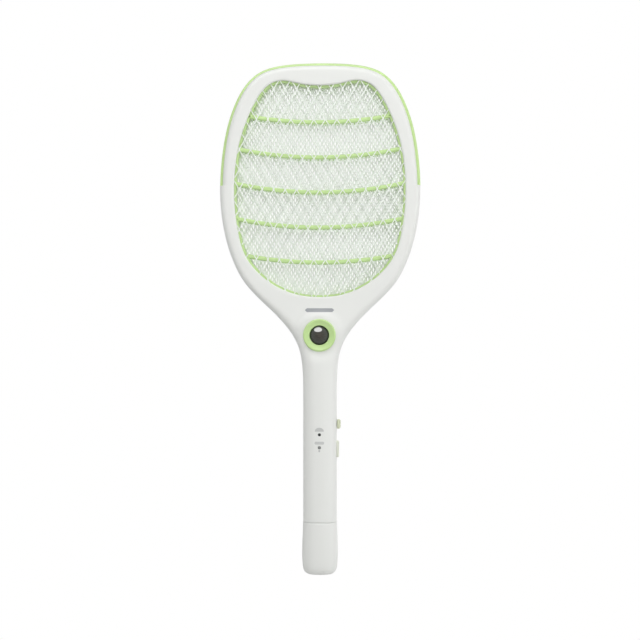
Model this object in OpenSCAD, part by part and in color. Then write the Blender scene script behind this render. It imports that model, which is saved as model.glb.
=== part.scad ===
// Rechargeable electric fly swatter. It stands upright: +Z runs up the handle towards the head,
// the front faces -Y, and the origin is the centre of the butt end. Millimetres.

/* [Handle] */
// Width of the grip
handle_w = 33.6; // [32:0.2:35]
// Depth of the grip, front to back
handle_d = 33; // [32:0.5:34]
// Height of the seam between the casing and the pull-off end cap
seam_z = 53; // [51:0.5:54]
// Greatest width of the end cap
cap_w = 35.8; // [35:0.2:37]
// Wall of the mouldings
wall = 2; // [1.6:0.1:2.2]

/* [Head] */
// Depth of the head, front to back
head_d = 24; // [23:0.5:26]
// Height at which the lime edge trim ends on each side
trim_end_z = 389; // [370:1:400]
// How far the trim stands inside the greatest outline
trim_t = 3; // [2.4:0.2:3.4]

/* [Grid] */
// Width of one lime rib
rib_w = 4; // [3:0.5:5]
// Height of the lowest rib at its middle
rib_z = 312; // [310:1:314]
// Distance from one rib to the next
rib_pitch = 35; // [34:0.5:35.5]
// Radius of the smile that each rib follows
rib_r = 400; // [350:10:500]
// Width of one mesh diamond
mesh_x = 11.5; // [10:0.5:14]
// Height of one mesh diamond
mesh_z = 20; // [18:1:24]
// Width of a mesh strand
strand = 1.2; // [0.9:0.1:1.6]

/* [Lamp] */
// Height of the lamp's centre
lamp_z = 239.3; // [236:0.1:240]
// Outer diameter of the lime bezel
bezel_d = 32.5; // [31:0.5:35]
// Diameter of the dark lens
lens_d = 19.2; // [18:0.2:21]

/* [Controls] */
// Height of the slide switch's knob at rest
slide_z = 150.3; // [149:0.1:151]
// Travel of the slide switch from off to its last position
slide_travel = 6; // [4:1:6]
// Height of the middle of the push button
button_z = 125.3; // [125:0.1:126]
// Travel of the push button
button_travel = 1.5; // [1:0.1:1.6]
// Heights of the two indicator lights
lights_z = [140.4, 127.5];

/* [Hidden] */

WHITE = [0.90, 0.91, 0.89];
LIME = [0.72, 0.85, 0.48];
STEEL = [0.78, 0.79, 0.78];
BOARD = [0.13, 0.38, 0.22];
DARK = [0.08, 0.08, 0.09];
BRASS = [0.80, 0.66, 0.36];
COPPER = [0.72, 0.43, 0.22];

$fn = 48;
hw = handle_w / 2;
hd = handle_d / 2;
face = head_d / 2;
lip = face - wall;
cap_hw = cap_w / 2;
fit = 0.3;
join_z = 194;
boss_r = 3.1;
screw_r = 1.3;
lens_r = lens_d / 2;
bezel_r = bezel_d / 2;
lamp_face = face + 3;

// Stack of flat layers through the head, as distances from the parting plane: the live net, an
// insulating ring, the lime grid, and the guard net between the grid and the casing's lip
net_t = 0.8;
live_t = 0.5;
frame_y = 1.5;
guard_y = lip - net_t;
rib_y = guard_y - 3.4;

// Right half of the casing's outline, [half width, height], from the crown to the neck
OUTER = [[0, 512], [28, 511], [50, 507.6], [66, 500], [80, 483], [91, 457], [97.5, 427],
    [100.5, 392], [98.8, 358], [91.5, 325], [79, 296.5], [63, 277.5], [47, 262.5],
    [34, 248.5], [25.5, 236.5], [20.3, 224.5], [18, 212], [17, 198]];
// Right half of the opening in the head
OPENING = [[0, 488], [20, 490], [36, 494], [50, 490.5], [61, 478.5], [69.5, 462], [77, 443],
    [82.5, 421], [85.5, 392], [84, 358], [76.5, 323], [62, 302], [43.5, 288], [22, 279.5],
    [0, 277]];
// Casing screws: [across, height, depth of the head's seat]
SCREWS = [[0, 500, lip], [63.5, 487, lip], [-63.5, 487, lip], [92.2, 392, lip], [-92.2, 392, lip],
    [71.5, 301.5, lip], [-71.5, 301.5, lip], [33, 264, lip], [-33, 264, lip],
    [11.3, 64, 11.2], [-11.3, 64, 11.2], [0, 112.2, 14.4], [0, 212.5, 14.4]];

// Smooth curve through points, with each span cut into steps
function spline(a, b, c, d, t) =
    0.5 * (2 * b + (c - a) * t + (2 * a - 5 * b + 4 * c - d) * t * t
        + (3 * b - a - 3 * c + d) * t * t * t);
function at(p, i) = p[(i + len(p)) % len(p)];
function smooth(p, n) = [for (i = [0:len(p) - 1], k = [0:n - 1])
    spline(at(p, i - 1), at(p, i), at(p, i + 1), at(p, i + 2), k / n)];
function left(p, last) = [for (i = [last:-1:1]) [-p[i][0], p[i][1]]];
// Moves each point of a clockwise outline inwards by d
function inset(p, d) = [for (i = [0:len(p) - 1])
    let (t = at(p, i + 1) - at(p, i - 1), u = t / norm(t)) p[i] + d * [u[1], -u[0]]];

opening = smooth(concat(OPENING, left(OPENING, len(OPENING) - 2)), 5);
outer_right = [for (i = [0:len(OUTER) - 2], k = [0:4])
    spline(i == 0 ? [-OUTER[1][0], OUTER[1][1]] : OUTER[i - 1], OUTER[i], OUTER[i + 1],
        OUTER[min(i + 2, len(OUTER) - 1)], k / 5)];
outer_side = concat(outer_right, [OUTER[len(OUTER) - 1], [hw, 190], [hw, 180]]);
outer = concat(outer_side, left(outer_side, len(outer_side) - 1));

// Half of the handle's rounded section, on the front side; power sets how square it is
power = 2.8;
function edge(a, w, d) = [w * sign(cos(a)) * pow(abs(cos(a)), 2 / power),
    d * sign(sin(a)) * pow(abs(sin(a)), 2 / power)];
function half_section(w, d) = [for (a = [180:7.5:360]) edge(a, w, d)];
function section(w, d) = [for (a = [0:7.5:352.5]) edge(a, w, d)];

// A flat layer of the head on the front side, between two distances from the parting plane
module slab(points, near, far)
    rotate([90, 0, 0]) translate([0, 0, near]) linear_extrude(far - near) polygon(points);

// A layer on both sides of the parting plane
module sheet(points, half) slab(points, -half, half);

// A round bar along Y, between two distances in front of the parting plane
module bar(x, z, r, near, far)
    translate([x, -near, z]) rotate([90, 0, 0]) cylinder(r = r, h = far - near);

// Round wire swept along a smooth curve through points, with eight sides
module wire(points, r) {
    last = len(points) - 1;
    path = concat([for (i = [0:last - 1], k = [0:3])
        spline(points[max(i - 1, 0)], points[i], points[i + 1], points[min(i + 2, last)], k / 4)],
        [points[last]]);
    ends = len(path) - 1;
    rings = [for (i = [0:ends])
        let (v = path[min(i + 1, ends)] - path[max(i - 1, 0)], along = v / norm(v),
            across = cross(along, [0, 1, 0]), u = across / norm(across), w = cross(along, u))
        [for (a = [0:45:315]) path[i] + r * (cos(a) * u + sin(a) * w)]];
    polyhedron(
        points = [for (ring = rings, p = ring) p],
        faces = concat([[for (i = [0:7]) i]], [[for (i = [7:-1:0]) ends * 8 + i]],
            [for (i = [0:ends - 1], k = [0:7])
                [i * 8 + k, (i + 1) * 8 + k, (i + 1) * 8 + (k + 1) % 8, i * 8 + (k + 1) % 8]]));
}

// Everything above, or below, a height
module above(z) translate([-150, -50, z]) cube([300, 100, 400]);
module below(z) translate([-150, -50, z - 100]) cube([300, 100, 100]);

// The neck thickens in layers from the head's depth to the handle's
module neck(shrink)
    for (k = [1:4])
        difference() {
            slab(inset(outer, 2.1 + 2.1 * k + shrink), -1, face + (hd - face) * k / 4 - shrink);
            above(270 - 8 * k - shrink);
        }

// The casing half as a full solid on the front side
module casing_solid() {
    difference() {
        union() {
            slab(outer, 0, face * 0.5);
            slab(inset(outer, 0.7), 0, face * 0.74);
            slab(inset(outer, 1.9), 0, face * 0.9);
            slab(inset(outer, 4), 0, face);
            intersection() {
                neck(0);
                slab(outer, 0, hd);
            }
        }
        below(join_z);
        // The upper edge stands back to leave room for the trim
        intersection() {
            difference() {
                slab(inset(outer, -5), -1, face + 1);
                slab(inset(outer, trim_t), -2, face + 2);
            }
            above(trim_end_z);
        }
    }
    translate([0, 0, seam_z]) linear_extrude(join_z + 8 - seam_z) polygon(half_section(hw, hd));
}

// The space inside a casing half
module casing_hollow() {
    inner_w = hw - wall;
    difference() {
        union() {
            slab(inset(outer, trim_t + wall), -1, lip);
            neck(wall);
            difference() {
                slab(inset(outer, wall), -1, face * 0.74);
                above(trim_end_z - 4);
            }
        }
        below(join_z);
    }
    translate([0, 0, seam_z - 1]) linear_extrude(join_z + 9 - seam_z)
        polygon(concat([[-inner_w, 1]], half_section(inner_w, hd - wall), [[inner_w, 1]]));
}

// Cut-outs at the parting plane for the two controls on the right side
module control_cuts() {
    translate([hw - 4, -2, slide_z - 2.4]) cube([8, 4, 4.8 + slide_travel]);
    translate([hw - 4, -4.5, button_z - 8.6]) cube([8, 9, 17.2]);
}

module front_shell() color(WHITE) {
    difference() {
        union() {
            difference() {
                union() {
                    casing_solid();
                    bar(0, lamp_z, 20.5, lip, face + 3);
                }
                casing_hollow();
                slab(opening, lip - 1, face + 1);
                bar(0, lamp_z, bezel_r + 0.2, lamp_face, hd + 1);
            }
            // Bosses that the casing screws bite into
            for (s = SCREWS) bar(s[0], s[1], boss_r, 0, s[2] + 0.3);
        }
        for (s = SCREWS) bar(s[0], s[1], screw_r, -1, 8.5);
        bar(0, lamp_z, 12.1, 0, face + 5);
        for (z = lights_z) bar(0, z, 1.6, 0, hd + 1);
        control_cuts();
    }
}

module rear_shell() color(WHITE) {
    difference() {
        union() {
            difference() {
                mirror([0, 1, 0]) casing_solid();
                mirror([0, 1, 0]) casing_hollow();
                mirror([0, 1, 0]) slab(opening, lip - 1, face + 1);
            }
            for (s = SCREWS) bar(s[0], s[1], boss_r, -s[2] - 0.3, 0);
        }
        for (s = SCREWS) {
            bar(s[0], s[1], 1.6, -s[2] - 1, 1);
            bar(s[0], s[1], 2.7, -hd - 1, -s[2]);
        }
        control_cuts();
    }
}

// Lime band that wraps the upper edge, between the two shells
module edge_trim() color(LIME)
    intersection() {
        difference() {
            union() {
                sheet(outer, 3.2);
                sheet(inset(outer, 0.7), 4.4);
            }
            sheet(inset(outer, trim_t), 6);
        }
        above(trim_end_z + 0.2);
    }

// Lime ring with five curved ribs, one piece, on the front side; it holds the guard net up
// against the lip and keeps it away from the live net
module grid_frame() color(LIME) {
    difference() {
        slab(inset(opening, -3.5), frame_y, guard_y);
        slab(inset(opening, 2), frame_y - 1, guard_y + 1);
    }
    intersection() {
        slab(inset(opening, 1), rib_y, guard_y);
        for (k = [0:4])
            difference() {
                bar(0, rib_z + k * rib_pitch + rib_r, rib_r + rib_w / 2, rib_y, guard_y);
                bar(0, rib_z + k * rib_pitch + rib_r, rib_r - rib_w / 2, rib_y - 1, guard_y + 1);
            }
    }
}

module front_grid_frame() grid_frame();
module rear_grid_frame() mirror([0, 1, 0]) grid_frame();

// Whether a point lies in the opening, by the height of its top and bottom edges there
widest = 8;
function inside(x, z) = abs(x) < OPENING[widest][0]
    && z < lookup(abs(x), [for (i = [0:widest]) OPENING[i]])
    && z > lookup(abs(x), [for (i = [len(OPENING) - 1:-1:widest]) OPENING[i]]);

// A flat expanded-metal net with a solder tab, between two distances from the parting plane
module net(near, far, grow, tab_x, shift)
    difference() {
        union() {
            slab(inset(opening, -grow), near, far);
            translate([tab_x - 2, -far, 266]) cube([4, far - near, 14]);
        }
        for (row = [0:20], col = [-8:8]) {
            cx = (col + 0.5 * (row % 2)) * mesh_x + shift;
            cz = 285 + row * mesh_z / 2;
            w = mesh_x / 2 - strand;
            h = mesh_z / 2 - strand * 1.6;
            tips = [[cx - w, cz], [cx, cz + h], [cx + w, cz], [cx, cz - h]];
            if (min([for (t = tips) inside(t[0], t[1]) ? 1 : 0]) == 1) slab(tips, near - 1, far + 1);
        }
    }

module front_guard_net() color(STEEL) net(guard_y, lip, 3, 12, 0);
module high_voltage_net() color(STEEL) net(-live_t, live_t, 2.2, -12, mesh_x / 4);
module rear_guard_net() color(STEEL) net(-lip, -guard_y, 3, 12, 0);

// Insulating ring between the live net and a lime grid
module spacer(near, far) color(WHITE)
    difference() {
        slab(inset(opening, -3.3), near, far);
        slab(inset(opening, 1.6), near - 1, far + 1);
    }

module front_net_spacer() spacer(live_t, frame_y);
module rear_net_spacer() spacer(-frame_y, -live_t);

// Turned shape about the lamp's axis; profile is [radius, distance in front of the parting plane]
module turned(profile)
    translate([0, 0, lamp_z]) rotate([90, 0, 0]) rotate_extrude($fn = 96) polygon(profile);

module lamp_bezel() color(LIME)
    turned([[lens_r + 0.3, lamp_face - 3], [12, lamp_face - 3], [12, lamp_face],
        [bezel_r, lamp_face], [bezel_r, lamp_face + 1.1], [bezel_r - 0.5, lamp_face + 1.8],
        [bezel_r - 1.3, lamp_face + 2.1], [bezel_r - 2.4, lamp_face + 1.8],
        [lens_r + 1.2, lamp_face + 0.9], [lens_r + 0.3, lamp_face + 0.9]]);

module lamp_lens() color(DARK) {
    dome = 4;
    dome_r = (lens_r * lens_r + dome * dome) / (2 * dome);
    bar(0, lamp_z, lens_r, lamp_face - 3, lamp_face);
    intersection() {
        translate([0, -lamp_face - dome + dome_r, lamp_z]) sphere(r = dome_r, $fn = 96);
        bar(0, lamp_z, lens_r, lamp_face, lamp_face + dome + 1);
    }
    difference() {
        bar(0, lamp_z, 11.6, lamp_face - 4.2, lamp_face - 3);
        bar(0, lamp_z, lens_r - 0.6, lamp_face - 5, lamp_face - 3);
    }
}

module lamp_reflector() color(STEEL)
    turned([[3, 8.4], [3.6, 8.4], [lens_r - 0.8, lamp_face - 4.4], [lens_r - 0.8, lamp_face - 3.6],
        [3, 9.3]]);

module lamp_board() color(BOARD) bar(0, lamp_z, 9, 6.8, 8);

module lamp_led() color([0.95, 0.94, 0.80])
    turned([[0, 8], [2.5, 8], [2.5, 9.4], [2.3, 10.4], [1.6, 11.2], [0.8, 11.6], [0, 11.7]]);

module lamp_leads() color([0.75, 0.15, 0.12])
    for (side = [-1, 1])
        wire([[side * 4.6, -4.2, 204.4], [side * 4.6, -4.2, 216], [side * 4.6, -6.1, 228],
            [side * 4.6, -6.1, 234]], 0.55);

board_y = 4.9;
board_low = 116;
board_high = 206;

module main_board() color(BOARD)
    translate([-12, -board_y - 1.6, board_low]) cube([24, 1.6, board_high - board_low]);

module step_up_transformer() {
    color(DARK) {
        translate([-8, -board_y, 168]) cube([16, 13, 4]);
        translate([-8, -board_y, 182]) cube([16, 13, 4]);
    }
    color(COPPER) translate([-6, -board_y + 1, 172]) cube([12, 11, 10]);
}

module high_voltage_capacitor() color([0.70, 0.42, 0.12])
    translate([-9, -board_y, 189.5]) cube([18, 9, 14]);

module smoothing_capacitor() color([0.16, 0.18, 0.35])
    bar(-6, 155, 4, -7, board_y);

module rectifier_diodes() color(DARK)
    for (k = [0:2])
        translate([-10.5, -board_y + 1.4, 145.6 - 3.4 * k])
            rotate([0, 90, 0]) cylinder(r = 1.3, h = 6);

module resistors() color([0.72, 0.60, 0.42])
    for (k = [0:3])
        translate([-9.5 + 5 * (k % 2), -board_y + 1.2, 118 + 8 * floor(k / 2)])
            cylinder(r = 1.1, h = 6);

module switching_transistor() color(DARK)
    translate([-2, -board_y, 139]) cube([4.6, 4.2, 3.6]);

module slide_switch() color([0.30, 0.31, 0.33]) {
    translate([4, -board_y, 141.5]) cube([7.8, 2 * board_y, 19]);
}

module tactile_switch() {
    color(DARK) translate([5.5, -board_y, button_z - 3.5]) cube([4.7, 7.9, 7]);
    color(BRASS) translate([10.2, 0, button_z]) rotate([0, 90, 0]) cylinder(r = 1.6, h = 0.9);
}

// Knob outside, stem through the slot, and a flange that keeps it in
module power_slider() color(LIME) {
    translate([hw + fit, -4, slide_z - 4.7]) cube([2.6, 8, 9.4]);
    translate([hw + fit + 2.6, -3.2, slide_z - 3.9]) cube([1.2, 6.4, 7.8]);
    translate([12.3, -1.6, slide_z - 2]) cube([hw + fit - 12.3, 3.2, 4]);
    translate([13.2, -3.4, slide_z - 6]) cube([1.2, 6.8, 12]);
}

// Long push button with a flange inside the wall
module zap_button() color(LIME) {
    translate([13.9, -4.2, button_z - 8.3]) cube([4.4, 8.4, 16.6]);
    translate([18.3, -3.4, button_z - 7.5]) cube([0.8, 6.8, 15]);
    translate([12.9, -4.7, button_z - 10.4]) cube([1.3, 9.4, 20.8]);
}

module indicator(z) color(DARK) {
    bar(0, z, 1.45, board_y + 1.6, hd - 0.3);
    bar(0, z, 2.1, board_y + 1.6, board_y + 3);
}

module upper_indicator() indicator(lights_z[0]);
module lower_indicator() indicator(lights_z[1]);

cell_low = 58;
cell_high = 108;

module battery_cell() color([0.20, 0.45, 0.62]) {
    translate([0, 0, cell_low]) cylinder(r = 7, h = cell_high - cell_low - 1);
    translate([0, 0, cell_high - 1]) cylinder(r = 2.6, h = 1);
}

module battery_tabs() color(STEEL) {
    translate([-4.5, -2, cell_high]) cube([9, 10, 0.3]);
    translate([-4.5, -2, cell_low - 0.3]) cube([9, 10, 0.3]);
}

module battery_leads() color([0.75, 0.15, 0.12]) {
    wire([[4.2, 8.7, 108.2], [4.6, 8.6, 112], [5, 2, 117.6], [5, -4.2, 118]], 0.6);
    wire([[-4.2, 8.7, 57.8], [-4.6, 8.8, 62], [-4.6, 8.8, 104], [-5, 8.6, 110], [-5, 2, 116.5],
        [-2, -4.2, 118]], 0.6);
}

module charging_leads() color(DARK)
    for (side = [-1, 1])
        wire([[side * 6.3, -4.2, 57.4], [side * 5.4, -9.4, 61], [side * 5, -9.4, 106],
            [side * 5, -7.3, 117.5]], 0.6);

module high_voltage_lead() color([0.75, 0.15, 0.12])
    wire([[-7, 1, 204.4], [-7.5, 1, 222], [-9, 1, 248], [-12, 0, 265.6]], 0.8);

module ground_leads() color(DARK)
    for (side = [-1, 1])
        wire([[7, side * 1.5, 204.4], [7.5, side * 2, 222], [9.5, side * 3.6, 248],
            [11.4, side * 7.4, 260], [12, side * 9.2, 265.6]], 0.7);

pin_x = 6.35;

// Insulating block in the end of the handle; the cap slides over its lower half
module plug_block() color([0.86, 0.87, 0.85])
    difference() {
        translate([0, 0, 42]) linear_extrude(14) polygon(section(14.4, 14.1));
        for (side = [-1, 1])
            translate([side * pin_x - 0.75, -3.15, 41]) cube([1.5, 6.3, 16]);
    }

// Two flat pins that the cap hides
module charging_pins() color(BRASS)
    for (side = [-1, 1])
        translate([side * pin_x - 0.75, -3.15, 24]) cube([1.5, 6.3, 33.4]);

// The cap's outside, rim, inside and floor as one shape: [height, half width, half depth]
CAP = [[0, 8.5, 8], [0.7, 12.6, 12], [2.6, 15.2, 14.6], [5.6, 16.7, 15.9], [10, cap_hw - 0.5, 16.4],
    [18, cap_hw, 16.9], [30, cap_hw - 0.1, 16.9], [42, cap_hw - 0.6, 16.6],
    [seam_z - fit, hw + 0.2, hd - 0.1], [seam_z - fit, hw - wall, hd - wall],
    [41, hw - wall, hd - wall], [38, hw - wall, hd - wall], [6, 14, 13.6], [2.4, 11.5, 11]];

module end_cap() color(WHITE) {
    rings = [for (s = CAP) [for (p = section(s[1], s[2])) [p[0], p[1], s[0]]]];
    n = len(rings[0]);
    polyhedron(
        points = [for (ring = rings, p = ring) p],
        faces = concat(
            [[for (i = [0:n - 1]) i]],
            [[for (i = [n - 1:-1:0]) (len(rings) - 1) * n + i]],
            [for (r = [0:len(rings) - 2], i = [0:n - 1])
                [r * n + i, (r + 1) * n + i, (r + 1) * n + (i + 1) % n, r * n + (i + 1) % n]]));
}

// Pan-head screws driven from the rear
module casing_screws() color(STEEL)
    for (s = SCREWS)
        difference() {
            union() {
                bar(s[0], s[1], 2.5, -s[2] - 1.5, -s[2]);
                bar(s[0], s[1], screw_r, -s[2], 8);
            }
            for (turn = [0, 90])
                translate([s[0], s[2] + 1.5, s[1]]) rotate([0, turn, 0])
                    cube([2.8, 1.6, 0.6], center = true);
        }

front_shell();
rear_shell();
edge_trim();
front_grid_frame();
rear_grid_frame();
front_guard_net();
high_voltage_net();
rear_guard_net();
front_net_spacer();
rear_net_spacer();
lamp_bezel();
lamp_lens();
lamp_reflector();
lamp_board();
lamp_led();
lamp_leads();
main_board();
step_up_transformer();
high_voltage_capacitor();
smoothing_capacitor();
rectifier_diodes();
resistors();
switching_transistor();
slide_switch();
tactile_switch();
power_slider();
zap_button();
upper_indicator();
lower_indicator();
battery_cell();
battery_tabs();
battery_leads();
charging_leads();
high_voltage_lead();
ground_leads();
plug_block();
charging_pins();
end_cap();
casing_screws();
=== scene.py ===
"""Rechargeable electric fly swatter: the looks of each piece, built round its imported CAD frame."""

import math

import bmesh
import bpy
import numpy as np
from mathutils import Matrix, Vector
from mathutils.geometry import delaunay_2d_cdt


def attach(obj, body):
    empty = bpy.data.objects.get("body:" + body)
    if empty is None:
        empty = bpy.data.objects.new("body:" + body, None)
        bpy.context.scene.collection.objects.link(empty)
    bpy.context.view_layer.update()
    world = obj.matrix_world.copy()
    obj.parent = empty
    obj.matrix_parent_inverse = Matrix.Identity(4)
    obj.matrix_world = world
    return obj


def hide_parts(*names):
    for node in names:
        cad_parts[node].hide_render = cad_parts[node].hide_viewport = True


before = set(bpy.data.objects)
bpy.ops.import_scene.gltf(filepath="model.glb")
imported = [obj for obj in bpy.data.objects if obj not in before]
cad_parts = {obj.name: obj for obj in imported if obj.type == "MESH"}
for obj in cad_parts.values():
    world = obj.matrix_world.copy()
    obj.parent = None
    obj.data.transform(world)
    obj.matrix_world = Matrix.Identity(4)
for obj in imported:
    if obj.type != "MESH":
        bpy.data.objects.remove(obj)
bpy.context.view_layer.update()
scene = bpy.context.scene
MM = 0.001

# --- Camera ---------------------------------------------------------------------------------
# A long lens, level with the racket's middle and turned a few degrees to its right-hand side,
# so that the whole swatter stands upright in a square picture 640 mm across.


def added(name, data):
    """A new object in the scene, at the origin."""
    made = bpy.data.objects.new(name, data)
    scene.collection.objects.link(made)
    return made


VIEW_SPAN = 0.640
CAMERA_DISTANCE = 1.5
CAMERA_TURN = math.radians(2.6)
camera_data = bpy.data.cameras.new("camera")
camera_data.sensor_width = 36.0
camera_data.lens = camera_data.sensor_width * CAMERA_DISTANCE / VIEW_SPAN
camera = added("camera", camera_data)
middle = Vector((0.0002, -0.006, 0.2545))
camera.location = middle + CAMERA_DISTANCE * Vector((math.sin(CAMERA_TURN), -math.cos(CAMERA_TURN), 0))
camera.rotation_euler = (middle - camera.location).to_track_quat("-Z", "Y").to_euler()
scene.camera = camera
scene.view_settings.view_transform = "Standard"

# --- Light tent -----------------------------------------------------------------------------
# White cloth all round, brighter on the right and overhead and dimmer behind the lens. The lens
# sees it as plain white, while the racket is lit by its softer, uneven glow.
TENT = (("X", 0.80, 1.02), ("Y", 0.06, 1.20), ("Z", 0.82, 1.03))
world = bpy.data.worlds.new("light_tent")
scene.world = world
world.use_nodes = True
tent_nodes, tent_links = world.node_tree.nodes, world.node_tree.links
tent_nodes.clear()
towards = tent_nodes.new("ShaderNodeTexCoord")
split = tent_nodes.new("ShaderNodeSeparateXYZ")
tent_links.new(towards.outputs["Generated"], split.inputs[0])
tent = tent_nodes.new("ShaderNodeBackground")
strength = tent.inputs["Strength"]
for axis, low, high in TENT:
    ramp = tent_nodes.new("ShaderNodeMapRange")
    ramp.inputs["From Min"].default_value = -1.0
    ramp.inputs["To Min"].default_value = low
    ramp.inputs["To Max"].default_value = high
    tent_links.new(split.outputs[axis], ramp.inputs["Value"])
    dimmer = tent_nodes.new("ShaderNodeMath")
    dimmer.operation = "MULTIPLY"
    dimmer.inputs[1].default_value = 1.0
    tent_links.new(ramp.outputs[0], dimmer.inputs[0])
    tent_links.new(dimmer.outputs[0], strength)
    strength = dimmer.inputs[1]


def white_to_the_lens(tree, lit, kind, output):
    """Ends a tree so that the lens sees plain white, and the light sees what is really there."""
    white = tree.nodes.new(kind)
    white.inputs["Color"].default_value = (1.0, 1.0, 0.998, 1)
    pick = tree.nodes.new("ShaderNodeMixShader")
    tree.links.new(tree.nodes.new("ShaderNodeLightPath").outputs["Is Camera Ray"], pick.inputs["Fac"])
    tree.links.new(lit, pick.inputs[1])
    tree.links.new(white.outputs[0], pick.inputs[2])
    tree.links.new(pick.outputs[0], output.inputs["Surface"])


white_to_the_lens(world.node_tree, tent.outputs[0], "ShaderNodeBackground",
                  tent_nodes.new("ShaderNodeOutputWorld"))


def soft_box(name, place, aim, size, watts, mirrored=True):
    """An oval soft box that points at a spot; glossy pieces may or may not mirror it."""
    data = bpy.data.lights.new(name, "AREA")
    data.shape = "ELLIPSE"
    data.size, data.size_y = size
    data.energy = watts
    lamp = added(name, data)
    lamp.location = place
    lamp.rotation_euler = (Vector(aim) - lamp.location).to_track_quat("-Z", "Y").to_euler()
    lamp.visible_glossy = mirrored


soft_box("overhead_front", (-0.34, -0.98, 1.50), (0, 0, 0.24), (1.95, 1.35), 17.0)
soft_box("front_fill", (0.35, -2.3, 0.45), (0, 0, 0.25), (1.2, 1.2), 11.6, mirrored=False)
soft_box("right_side", (1.9, -0.75, 0.55), (0, 0, 0.25), (1.0, 1.3), 13.0, mirrored=False)
soft_box("behind", (0.9, 1.7, 1.0), (0, 0, 0.26), (1.0, 1.0), 16.0, mirrored=False)

# --- Floor ----------------------------------------------------------------------------------
# Pale paper, low enough for the end cap to be pulled off above it, and lit from below to the
# lens as the tent is, so that no horizon shows.
FLOOR_Z = -0.075
FLOOR_HALF = 9.0
floor_mesh = bpy.data.meshes.new("floor")
corners = [(sx * FLOOR_HALF, sy * FLOOR_HALF, FLOOR_Z) for sx, sy in ((-1, -1), (1, -1), (1, 1), (-1, 1))]
floor_mesh.from_pydata(corners, [], [(0, 1, 2, 3)])
floor = added("floor", floor_mesh)
paper = bpy.data.materials.new("pale_paper")
paper.use_nodes = True
paper_shader = paper.node_tree.nodes["Principled BSDF"]
paper_shader.inputs["Base Color"].default_value = (0.62, 0.62, 0.615, 1)
paper_shader.inputs["Roughness"].default_value = 0.9
white_to_the_lens(paper.node_tree, paper_shader.outputs[0], "ShaderNodeEmission",
                  paper.node_tree.nodes["Material Output"])
floor_mesh.materials.append(paper)
floor.visible_glossy = False

# --- Casing shells --------------------------------------------------------------------------
# Two white ABS mouldings, front and rear, that meet at the middle plane: head frame, neck and
# grip in one, with a 2 mm wall. The lamp, the lights and the two controls come through them,
# and the rear one has sunk seats for the screws that hold the pair together.

# Right halves of the outlines from the crown down: half widths in mm against heights in mm
CASING = ((0, 512), (28, 511), (50, 507.6), (66, 500), (80, 483), (91, 457), (97.5, 427), (100.5, 392),
          (98.8, 358), (91.5, 325), (79, 296.5), (63, 277.5), (47, 262.5), (34, 248.5), (25.5, 236.5),
          (20.3, 224.5), (18, 212), (17, 198), (16.8, 182), (16.8, 120), (16.8, 53))
OPENING = ((0, 488), (20, 490), (36, 494), (50, 490.5), (61, 478.5), (69.5, 462), (77, 443), (82.5, 421),
           (85.5, 392), (84, 358), (76.5, 323), (62, 302), (43.5, 288), (22, 279.5), (0, 277))
HEAD_HALF = 12.0
GRIP_HALF_WIDTH = 16.8
GRIP_HALF_DEPTH = 16.5
WALL = 2.0
LIP_ROUND = 1.6
# How far in the rounded side reaches, on the grip and on the head, and how squared it is
GRIP_ROUND, HEAD_ROUND = 16.1, 7.5
SQUARENESS = 2.8
TRIM_END = 389.0
TRIM_REACH = 3.0
TRIM_HALF = 4.4
LAMP_Z = 239.3
LAMP_FACE = HEAD_HALF + 3
LAMP_BORE = 13.0
SLIDE_Z = 150.3
SLIDE_TRAVEL = 6.0
BUTTON_Z = 125.3
LIGHT_HEIGHTS = (140.4, 127.5)
# Casing screws: half width, height, depth of the seat behind the middle plane
SCREWS = ((0, 500, 10), (63.5, 487, 10), (-63.5, 487, 10), (92.2, 392, 10), (-92.2, 392, 10),
          (71.5, 301.5, 10), (-71.5, 301.5, 10), (33, 264, 10), (-33, 264, 10),
          (11.3, 64, 11.2), (-11.3, 64, 11.2), (0, 112.2, 14.4), (0, 212.5, 14.4))


def through(points, steps=12):
    """A smooth curve through the points, kept to its ends."""
    before, after = 2 * np.array(points[0]) - points[1], 2 * np.array(points[-1]) - points[-2]
    p = np.array([before, *points, after], float)
    t = np.linspace(0, 1, steps, endpoint=False)[:, None]
    runs = [0.5 * (2 * b + (c - a) * t + (2 * a - 5 * b + 4 * c - d) * t**2
                   + (3 * b - a - 3 * c + d) * t**3)
            for a, b, c, d in zip(p, p[1:], p[2:], p[3:])]
    return np.vstack([*runs, p[-2:-1]])


def evenly(points, count):
    """The same curve with evenly spaced points."""
    along = np.r_[0, np.cumsum(np.linalg.norm(np.diff(points, axis=0), axis=1))]
    at = np.linspace(0, along[-1], count)
    return np.column_stack([np.interp(at, along, points[:, k]) for k in (0, 1)])


def softened(points, reach, closed):
    """Evens out the bends over a few neighbours, so that highlights run smoothly."""
    pad = 3 * reach
    weights = np.exp(-0.5 * (np.arange(-pad, pad + 1) / reach) ** 2)
    weights /= weights.sum()
    if closed:
        longer = np.vstack([points[-pad:], points, points[:pad]])
    else:
        before, after = 2 * points[0] - points[pad:0:-1], 2 * points[-1] - points[-2:-pad - 2:-1]
        longer = np.vstack([before, points, after])
    return np.column_stack([np.convolve(longer[:, k], weights, "valid") for k in (0, 1)])


def inward(points, closed):
    """Unit normals to the right of the path, which is the inside of a clockwise outline."""
    along = np.roll(points, -1, 0) - np.roll(points, 1, 0)
    if not closed:
        along[0], along[-1] = points[1] - points[0], points[-1] - points[-2]
    along /= np.linalg.norm(along, axis=1)[:, None]
    return np.column_stack([along[:, 1], -along[:, 0]])


def both_sides(half):
    """The mirrored left half, upwards, and then the right half, downwards."""
    return np.vstack([(half * (-1, 1))[:0:-1], half])


casing_line = softened(evenly(both_sides(through(CASING)), 561), 3, closed=False)
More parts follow.
